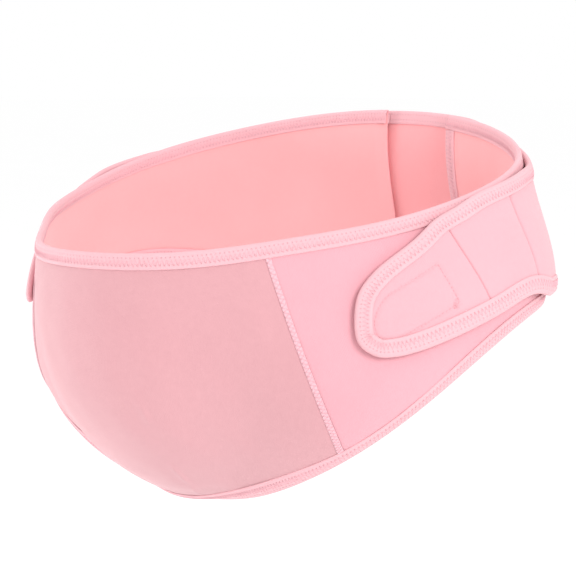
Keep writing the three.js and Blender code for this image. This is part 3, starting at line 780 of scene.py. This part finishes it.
def belly_cup():
    across, share = grid(columns=184, rows=126)
    edge = seam_angle(share, -CLEARANCE / 2)
    angle = edge * (2 * across - 1)
    hem = hem_at(angle)
    down = EDGE_INSET + (hem - 2 * EDGE_INSET) * share
    at = cloth_point(angle, down)
    calm = smooth(np.minimum(down, hem - down) / CUP_CALM)
    calm = calm * smooth((edge - np.abs(angle)) / CUP_SEAM_CALM)
    relief = calm * sum(height * ripple(at, size, seed) for height, size, seed in CUP_RIPPLES)
    for start, end, height in CUP_CREASES:
        relief = relief + calm * crease(angle, down, start, end, height)
    return cloth_piece("belly_cup", angle, down, 0, CLOTH, [CUP_FACE, CUP_BACK_TONE_AND_PAINTED_LIGHT], relief)


def wing(name, side, end, columns, seed):
    across, share = grid(columns, BAND_ROWS)
    seam = seam_angle(share, CLEARANCE / 2)
    angle = side * (seam + (end - seam) * across)
    down = EDGE_INSET + (hem_at(angle) - 2 * EDGE_INSET) * share
    at = cloth_point(angle, down)
    calm = smooth(np.minimum(down, hem_at(angle) - down) / WING_CALM)
    calm = calm * smooth(border_distance(at, 1) / END_CALM)
    relief = calm * WING_RIPPLE * ripple(at, WING_RIPPLE_SIZE, seed)
    seamed = 0 if side > 0 else 1 - smooth((end - side * angle) / per_millimetre(end, MIDWAY) / SEAM_FADE)
    thinner = SEAM_THINNER * seamed
    return cloth_piece(name, angle, down, band_middle(angle) + thinner / 2, CLOTH - thinner,
                       [WING_FACE, WING_BACK_TONE_AND_PAINTED_LIGHT], relief)


def needle_offset(angle):
    return np.full_like(angle, CLOTH / 2 + NEEDLE_LIFT)


def cup_seam(name, side):
    """The seam's raised ridge, and the threads that cross it."""
    across, share = grid(columns=10, rows=150)
    lap = 0.5
    inset = (TAPE_WIDTH - lap) / hem_at(SEAM_AT_RIM)
    share = inset + (1 - 2 * inset) * share
    angle = side * seam_angle(share, (across - 0.5) * SEAM_WIDTH)
    down = share * hem_at(angle)
    swell = SWELL * np.sin(share * 2 * np.pi * RIDGE_SWELLS) * (1 - (2 * across - 1) ** 2)
    middle = CLOTH / 2 + RIDGE_LIFT + SWELL_LIFT * swell
    thickness = RIDGE_THICKNESS + SWELL_THICKNESS * swell
    piece = cloth_piece(name, angle, down, middle, thickness, [SEAM, SEAM],
                        round_edge=SEAM_WIDTH / 2)[0]
    count = 2 * round(hem_at(SEAM_AT_RIM) / CROSSING_PITCH / 2)
    at = np.linspace(inset, 1 - inset, count)
    reach = np.where(np.arange(count) % 2 == 0, -SEAM_WIDTH / 2, SEAM_WIDTH / 2) * CROSSING_REACH
    seam = side * seam_angle(at, reach)
    middle, along, out = threads_along(seam, at * hem_at(seam), CLOTH / 2 + CROSSING_BASE)
    rows = [(middle + out * CROSSING_LIFT, along * CROSSING_SHARE, out)]
    for edge in NEEDLE_ROWS:
        line = np.linspace(inset, 1 - inset, num=400)
        angle = side * seam_angle(line, edge * SEAM_WIDTH)
        rows.append(straight_row(angle, line * hem_at(angle), needle_offset, NEEDLE_PITCH, NEEDLE_SHARE))
    return piece, lay_stitches(f"{name}_stitches", *joined(*rows), SEAM_THREAD)


def band_route(at_hem):
    angle = np.linspace(RIGHT_END, WING_END, num=900)
    return angle, hem_at(angle) if at_hem else np.zeros_like(angle)


def band_binding(name, at_hem):
    route = band_route(at_hem)
    sign = -1 if at_hem else 1
    piece, size = tape_piece(name, route, False, sign, band_middle)
    rows = [zigzag(route, False, sign, band_middle, side) for side in (1, -1)]
    return piece, size, lay_stitches(f"{name}_stitches", *joined(*rows), TAPE_THREAD)


def wing_end_binding():
    gap = 0.6
    ended = TAPE_WIDTH + gap
    down = np.linspace(ended, hem_at(WING_END) - ended, num=80)
    angle = WING_END + EDGE_INSET * per_millimetre(WING_END, TAPE_WIDTH) + 0 * down
    piece, size = tape_piece("left_wing_end_binding", (angle, down), False, 1, band_middle)
    rows = [zigzag((angle, down), False, 1, band_middle, side) for side in (1, -1)]
    return piece, size, lay_stitches("left_wing_end_binding_stitches", *joined(*rows), TAPE_THREAD)


def support_route():
    """The outer support's outline: back, up round the left tab, and the same mirrored."""
    back = np.linspace(180, TAB_ROOT, num=240, endpoint=False)
    tab = tab_edge(np.linspace(0, 1, num=700))
    front = np.linspace(TAB_ROOT, 180, num=240)[1:]
    angle = np.concatenate([back, tab[0], front])
    down = np.concatenate([upper_edge(back), tab[1], lower_edge(front)])
    return np.concatenate([angle, 360 - angle[-2:0:-1]]), np.concatenate([down, down[-2:0:-1]])


def back_binding():
    route = support_route()
    piece, size = tape_piece("back_binding", route, True, -1, support_middle)
    row = zigzag(route, True, -1, support_middle, 1)
    return piece, size, lay_stitches("back_binding_stitches", *row, TAPE_THREAD)


def support_panel(name, side, angle, down, seed, relief=0):
    middle = support_middle(angle)
    at = cloth_point(angle, down)
    calm = smooth(border_distance(at, 1) / END_CALM) * smooth(border_distance(at, 0) / PANEL_CALM)
    relief = relief + calm * PANEL_RIPPLE * ripple(at, PANEL_RIPPLE_SIZE, seed)
    if side < 0:
        angle = -angle[:, ::-1]
        down, middle, relief = down[:, ::-1], middle[:, ::-1], relief[:, ::-1]
    return cloth_piece(name, angle, down, middle, CLOTH, [PANEL_FACE, PANEL_BACK_TONE_AND_PAINTED_LIGHT], relief,
                       round_edge=0.4, dip=PANEL_DIP)


def between(low, high, share):
    return low + (high - low) * share


def tab_panel(name, side):
    across, share = grid(columns=96, rows=BAND_ROWS)
    turned = np.sin(across * np.pi / 2)
    gap = 0.3 * CLEARANCE * per_millimetre(TAB_SEAM[0], MIDWAY) * across
    upper = inset_tab_edge(between(TIP_SHARE, share_at(TAB_SEAM[0], True), turned))
    lower = inset_tab_edge(between(TIP_SHARE, share_at(TAB_SEAM[1], False), turned))
    angle = between(upper[0], lower[0], share) - gap
    down = between(upper[1], lower[1], share)
    return support_panel(name, side, angle, down, seed=23, relief=sewn_patch(angle, down))


def patch_place(turned, share, grown=0):
    """A place on a tab's hook patch, at shares of the way from tip to root and from upper to lower edge."""
    root = tab_edge(share_at(PATCH_ROOT, True))[1] + PATCH_ROOT_DROP
    tip = tab_edge(TIP_SHARE)[1] + PATCH_TIP_DROP
    rounded = np.sqrt(1 - np.maximum(0, 1 - turned / PATCH_ROUNDED) ** 2)
    half = (between(PATCH_TIP_HALF, PATCH_ROOT_HALF, turned) + grown) * rounded
    turn = grown * per_millimetre(PATCH_TIP, tip)
    angle = between(PATCH_TIP - turn, PATCH_ROOT + turn, turned) + PATCH_SLANT * turned * (share - 0.5)
    return angle, between(tip, root, turned) + between(-half, half, share)


def patch_outline():
    """The line along which the hook patch is sewn to its tab, closed, in even steps round its rounded tip."""
    turned = np.linspace(1, 0, num=25) ** 2
    upper, lower = (np.stack(patch_place(turned, share, PATCH_SEWN), -1) for share in (0, 1))
    return np.vstack([upper, lower[-2::-1], upper[:1]])


def sewn_patch(angle, down):
    """Relief of a tab over its hook patch: a groove along the stitches, and a slightly raised middle."""
    turn = per_millimetre(PATCH_ROOT, PATCH_MIDDLE)
    loop = patch_outline() / (turn, 1)
    at = np.stack([angle / turn, down], -1)[..., None, :]
    start, step = loop[:-1], np.diff(loop, axis=0)
    share = np.clip(np.sum((at - start) * step, -1) / np.sum(step * step, -1), 0, 1)
    near = np.linalg.norm(at - start - share[..., None] * step, axis=-1).min(-1)
    crossing = (start[:, 1] > at[..., 1]) != (loop[1:, 1] > at[..., 1])
    level = 1e-9
    fall = np.where(step[:, 1] == 0, level, step[:, 1])
    reach = start[:, 0] + (at[..., 1] - start[:, 1]) * step[:, 0] / fall
    inside = np.sum(crossing & (at[..., 0] < reach), -1) % 2 == 1
    raised = np.where(inside, GROOVE * smooth(near / GROOVE_RISE), 0)
    return raised - GROOVE * np.exp(-(near / GROOVE_WIDTH) ** 2)


def side_panel(name, side):
    across, share = grid(columns=48, rows=BAND_ROWS)
    upper = inset_tab_edge(between(share_at(TAB_SEAM[0], True), share_at(SIDE_SEAM[0], True), across))
    lower = inset_tab_edge(between(share_at(TAB_SEAM[1], False), share_at(SIDE_SEAM[1], False), across))
    angle = between(upper[0], lower[0], share)
    down = between(upper[1], lower[1], share)
    return support_panel(name, side, angle, down, seed=29)


def back_panel():
    across, share = grid(columns=220, rows=BAND_ROWS)
    gap = CLEARANCE * per_millimetre(SIDE_SEAM[0], MIDWAY)
    start = between(SIDE_SEAM[0], SIDE_SEAM[1], share) + gap
    angle = between(start, 360 - start, across)
    folded = np.minimum(angle, 360 - angle)
    low_part = TAB_SHARES >= TIP_SHARE
    tab_lower = np.interp(folded, TAB_ANGLES[low_part], TAB_DOWNS[low_part])
    lower = np.where(folded < TAB_ROOT, tab_lower, lower_edge(folded))
    down = between(upper_edge(angle) + EDGE_INSET, lower - EDGE_INSET, share)
    return support_panel("back_panel", 1, angle, down, seed=31)


def hook_patch(name, side):
    across, share = grid(columns=30, rows=20)
    turned = across if side > 0 else 1 - across
    tip = 0.002
    angle, down = patch_place(np.maximum(turned, tip), share)
    return patch(name, side * angle, down, HOOK)


def patch(name, angle, down, look):
    """A patch that fills the room between the band and the support."""
    inner = band_middle(angle) + CLOTH / 2 + PATCH_CLEARANCE
    outer = support_middle(angle) - CLOTH / 2 - PATCH_CLEARANCE
    middle, thickness = (inner + outer) / 2, outer - inner
    return cloth_piece(name, angle, down, middle, thickness, [look, look], round_edge=0.8)


def back_down(angle, share):
    """What joins the wings to the back panel ends inside the outer support's edge tapes."""
    ended = TAPE_WIDTH + BACK_INSET
    return between(upper_edge(angle) + ended, lower_edge(angle) - ended, share)


def back_hook_patch():
    turn = per_millimetre(WING_END, TAPE_WIDTH)
    far = WING_END - (TAPE_WIDTH + CLEARANCE) * turn
    across, share = grid(columns=10, rows=50)
    angle = between(far - BACK_PATCH_WIDTH * turn, far, across)
    return patch("back_hook_patch", angle, back_down(angle, share), HOOK)


def centre_back_seam():
    turn = per_millimetre(RIGHT_END, TAPE_WIDTH)
    across, share = grid(columns=8, rows=50)
    angle = RIGHT_END + turn * (BACK_SEAM_INSET + BACK_SEAM_WIDTH * across)
    return patch("centre_back_seam", angle, back_down(angle, share), PANEL_BACK_TONE_AND_PAINTED_LIGHT)


def panel_face(angle):
    return support_middle(angle) + CLOTH / 2 + STITCH_LIFT


def tab_stitches(name, side):
    """The row that sews the hook patch to its tab, and the bar of thread at its corner."""
    loop = patch_outline()
    corner = patch_place(1, 1, PATCH_SEWN)
    row = straight_row(loop[:, 0], loop[:, 1], panel_face, pitch=2.4, share=STITCH_SHARE)
    bar = np.arange(BAR_THREADS)
    angle = corner[0] - BAR_TURN + np.where(bar % 2 == 0, -BAR_HALF, BAR_HALF)
    down = corner[1] - BAR_RISE + bar * BAR_PITCH
    middle, along, out = joined(row, threads_along(angle, down, panel_face(angle)))
    if side < 0:
        flip = np.array((-1, 1, 1))
        middle, along, out = middle * flip, along * flip, out * flip
    return lay_stitches(name, middle, along, out, PANEL_THREAD)


def back_stitches():
    """Upright rows on the outer panel that hold the centre seam and the back hook patch."""
    rows = []
    turn = per_millimetre(180, TAPE_WIDTH)
    far = WING_END - (TAPE_WIDTH + CLEARANCE) * turn
    seam_rows = [360 + RIGHT_END + inset * turn for inset in SEAM_ROWS]
    patch_rows = [far - inset * turn for inset in (BACK_PATCH_WIDTH - PATCH_ROW, PATCH_ROW)]
    for angle in seam_rows + patch_rows:
        down = np.linspace(2 * TAPE_WIDTH, hem_at(angle) - 2 * TAPE_WIDTH, num=60)
        rows.append(straight_row(angle + 0 * down, down, panel_face, pitch=2.6, share=STITCH_SHARE))
    return lay_stitches("back_panel_stitches", *joined(*rows), PANEL_THREAD)


cup = belly_cup()
wings = [wing("left_wing", 1, WING_END, 200, 11), wing("right_wing", -1, -RIGHT_END, 224, 13)]
seams = [*cup_seam("left_cup_seam", 1), *cup_seam("right_cup_seam", -1)]
top = band_binding("band_top_binding", False)
bottom = band_binding("band_bottom_binding", True)
wing_end = wing_end_binding()
back = back_panel()
sides = [side_panel("left_side_panel", 1), side_panel("right_side_panel", -1)]
tabs = [tab_panel("left_tab", 1), tab_panel("right_tab", -1)]
support_edge = back_binding()
patches = [hook_patch("left_hook_patch", 1), hook_patch("right_hook_patch", -1), back_hook_patch()]
centre_seam = centre_back_seam()

back_stitches()
for index, (side, sign) in enumerate((("left", 1), ("right", -1))):
    tab_stitches(f"{side}_tab_stitches", sign)


# Camera, floor and light

# The photograph's viewing angle. Distances in metres, the focal length in pixels of a 576 pixel frame.
FRAME_PIXELS, FOCAL_PIXELS, SENSOR = 576, 1634.6, 36
AZIMUTH, ELEVATION, DISTANCE = math.radians(44), math.radians(7.5), 1.0684
ASIDE, RAISED = 0.0245, -0.0748


def make_camera():
    sin_a, cos_a, sin_e, cos_e = (f(x) for x in (AZIMUTH, ELEVATION) for f in (math.sin, math.cos))
    behind = Vector((sin_a * cos_e, -cos_a * cos_e, sin_e))
    right = Vector((cos_a, sin_a, 0))
    up = behind.cross(right)
    data = bpy.data.cameras.new("camera")
    data.sensor_width = SENSOR
    data.lens = FOCAL_PIXELS / FRAME_PIXELS * SENSOR
    camera = bpy.data.objects.new("camera", data)
    camera.matrix_world = Matrix((right, up, behind)).transposed().to_4x4()
    camera.location = behind * DISTANCE + right * ASIDE + up * RAISED
    bpy.context.scene.collection.objects.link(camera)
    bpy.context.scene.camera = camera


def make_floor(height):
    mesh = bpy.data.meshes.new("floor")
    reach = 40
    corners = ((-reach, -reach), (reach, -reach), (reach, reach), (-reach, reach))
    mesh.from_pydata([(x, y, height) for x, y in corners], [], [(0, 1, 2, 3)])
    floor = bpy.data.objects.new("floor", mesh)
    bpy.context.scene.collection.objects.link(floor)
    look = Look("pale floor", Specular_IOR_Level=0.0)
    grain = look.noise(look.place(), 3, 2)
    colour = look.mix(grain, (0.99, 0.99, 0.99, 1), (1, 1, 1, 1))
    mesh.materials.append(look.finish(colour, grain, depth=0.0001, roughness=0.9))


def make_light(name, place, size, power):
    data = bpy.data.lights.new(name, "AREA")
    data.shape, data.size, data.energy = "DISK", size, power
    light = bpy.data.objects.new(name, data)
    light.location = place
    light.rotation_euler = (-Vector(place)).to_track_quat("-Z", "Y").to_euler()
    bpy.context.scene.collection.objects.link(light)


make_camera()
make_floor(height=-0.75)
make_light("key", place=(2.05, -0.7, 0.8), size=1.0, power=32)
make_light("left", place=(-1.8, -1.0, -0.2), size=0.8, power=24)
make_light("top", place=(-0.2, -0.3, 2.2), size=1.6, power=10)
world = bpy.data.worlds.new("studio")
world.use_nodes = True
world.node_tree.nodes["Background"].inputs["Color"].default_value = (1, 1, 1, 1)
world.node_tree.nodes["Background"].inputs["Strength"].default_value = 1.0
bpy.context.scene.world = world
bpy.context.scene.view_settings.view_transform = "Standard"
